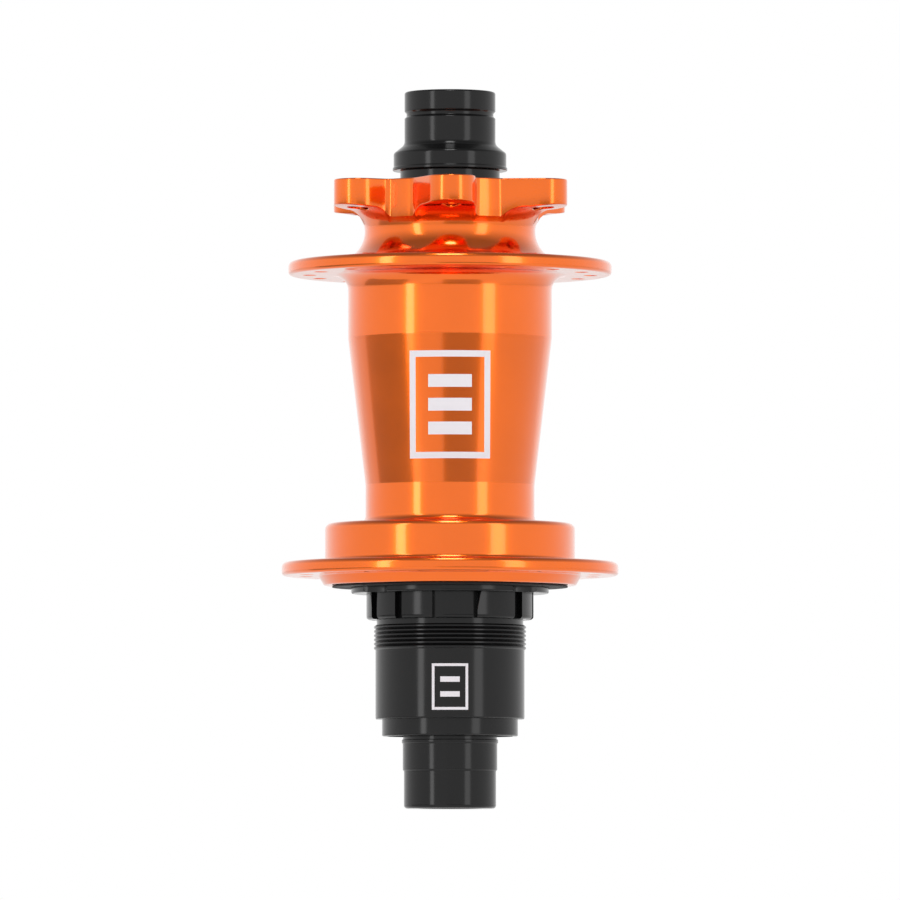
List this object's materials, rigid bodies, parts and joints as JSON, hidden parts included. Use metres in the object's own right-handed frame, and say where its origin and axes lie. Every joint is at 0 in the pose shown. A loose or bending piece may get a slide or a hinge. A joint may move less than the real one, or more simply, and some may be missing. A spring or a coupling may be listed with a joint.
{
  "type": "bicycle rear hub",
  "caption": "Rear disc-brake bicycle hub with spoked flanges, tapered body, splined and threaded driver, pawl freewheel, sealed bearings and through-axle end caps.",
  "frame": {"origin": "the middle of the axle, halfway between the end faces of the two end caps, on the axle's centre line", "axes": "+Z along the axle from the driver towards the brake side; -Y faces the viewer of the front, with one rotor tab towards it"},
  "size_m": [0.0694, 0.0694, 0.148],
  "materials": {
    "anodised_orange": "polished and anodised bright orange",
    "anodised_black": "turned and anodised gloss black",
    "bare_alloy": "turned, uncoated",
    "tool_steel": "hardened and ground",
    "spring_steel": "rolled strip",
    "bearing_steel": "ground and polished",
    "cage_brass": "pressed",
    "bearing_seal": "moulded, matt",
    "seal_rubber": "moulded, matt"
  },
  "bodies": {
    "axle": {"hub_axle": "bare_alloy", "ratchet_spacer": "bare_alloy", "driver_spacer": "bare_alloy", "brake_end_cap": "anodised_black", "drive_end_cap": "anodised_black", "brake_cap_o_ring": "seal_rubber", "drive_cap_o_ring": "seal_rubber", "brake_bearing_inner_race": "bearing_steel", "shell_bearing_inner_race": "bearing_steel", "inboard_bearing_inner_race": "bearing_steel", "outboard_bearing_inner_race": "bearing_steel"},
    "shell": {"hub_shell": "anodised_orange", "drive_ring": "tool_steel", "brake_bearing_outer_race": "bearing_steel", "brake_bearing_seals": "bearing_seal", "shell_bearing_outer_race": "bearing_steel", "shell_bearing_seals": "bearing_seal"},
    "freehub": {"freehub_body": "anodised_black", "freehub_seal": "seal_rubber", "pawl_springs": "spring_steel", "inboard_bearing_outer_race": "bearing_steel", "inboard_bearing_seals": "bearing_seal", "outboard_bearing_outer_race": "bearing_steel", "outboard_bearing_seals": "bearing_seal"},
    "brake_balls": {"brake_bearing_balls": "bearing_steel", "brake_bearing_cage": "cage_brass"},
    "shell_balls": {"shell_bearing_balls": "bearing_steel", "shell_bearing_cage": "cage_brass"},
    "inboard_balls": {"inboard_bearing_balls": "bearing_steel", "inboard_bearing_cage": "cage_brass"},
    "outboard_balls": {"outboard_bearing_balls": "bearing_steel", "outboard_bearing_cage": "cage_brass"},
    "pawl_1": {"pawl_1": "tool_steel"},
    "pawl_2": {"pawl_2": "tool_steel"},
    "pawl_3": {"pawl_3": "tool_steel"},
    "pawl_4": {"pawl_4": "tool_steel"},
    "pawl_5": {"pawl_5": "tool_steel"},
    "pawl_6": {"pawl_6": "tool_steel"}
  },
  "joints": [
    {"name": "shell_spin", "type": "hinge", "parent": "axle", "child": "shell", "pos_m": [0, 0, 0], "axis": [0, 0, 1], "continuous": true},
    {"name": "freehub_spin", "type": "hinge", "parent": "axle", "child": "freehub", "pos_m": [0, 0, -0.04], "axis": [0, 0, 1], "continuous": true},
    {"name": "brake_balls_roll", "type": "hinge", "parent": "axle", "child": "brake_balls", "pos_m": [0, 0, 0], "axis": [0, 0, 1], "continuous": true},
    {"name": "shell_balls_roll", "type": "hinge", "parent": "axle", "child": "shell_balls", "pos_m": [0, 0, 0], "axis": [0, 0, 1], "continuous": true},
    {"name": "inboard_balls_roll", "type": "hinge", "parent": "axle", "child": "inboard_balls", "pos_m": [0, 0, 0], "axis": [0, 0, 1], "continuous": true},
    {"name": "outboard_balls_roll", "type": "hinge", "parent": "axle", "child": "outboard_balls", "pos_m": [0, 0, 0], "axis": [0, 0, 1], "continuous": true},
    {"name": "pawl_1_swing", "type": "hinge", "parent": "freehub", "child": "pawl_1", "pos_m": [0.01658, 0.00075, -0.0217], "axis": [0, 0, -1], "range_deg": [-1.5, 4.1], "stiffness_Nm_per_rad": 0.02, "springref_deg": 20.05},
    {"name": "pawl_2_swing", "type": "hinge", "parent": "freehub", "child": "pawl_2", "pos_m": [0.00764, 0.01474, -0.0217], "axis": [0, 0, -1], "range_deg": [-1.5, 4.8], "stiffness_Nm_per_rad": 0.02, "springref_deg": 20.05},
    {"name": "pawl_3_swing", "type": "hinge", "parent": "freehub", "child": "pawl_3", "pos_m": [-0.00894, 0.01398, -0.0217], "axis": [0, 0, -1], "range_deg": [-1.5, 1.4], "stiffness_Nm_per_rad": 0.02, "springref_deg": 20.05},
    {"name": "pawl_4_swing", "type": "hinge", "parent": "freehub", "child": "pawl_4", "pos_m": [-0.01658, -0.00075, -0.0217], "axis": [0, 0, -1], "range_deg": [-1.5, 2.1], "stiffness_Nm_per_rad": 0.02, "springref_deg": 20.05},
    {"name": "pawl_5_swing", "type": "hinge", "parent": "freehub", "child": "pawl_5", "pos_m": [-0.00764, -0.01474, -0.0217], "axis": [0, 0, -1], "range_deg": [-1.5, 2.7], "stiffness_Nm_per_rad": 0.02, "springref_deg": 20.05},
    {"name": "pawl_6_swing", "type": "hinge", "parent": "freehub", "child": "pawl_6", "pos_m": [0.00894, -0.01398, -0.0217], "axis": [0, 0, -1], "range_deg": [-1.5, 3.4], "stiffness_Nm_per_rad": 0.02, "springref_deg": 20.05}
  ],
  "couplings": [
    {"joint": "brake_balls_roll", "follows": "shell_spin", "ratio": 0.57606},
    {"joint": "shell_balls_roll", "follows": "shell_spin", "ratio": 0.57606},
    {"joint": "inboard_balls_roll", "follows": "freehub_spin", "ratio": 0.55756},
    {"joint": "outboard_balls_roll", "follows": "freehub_spin", "ratio": 0.55756}
  ]
}
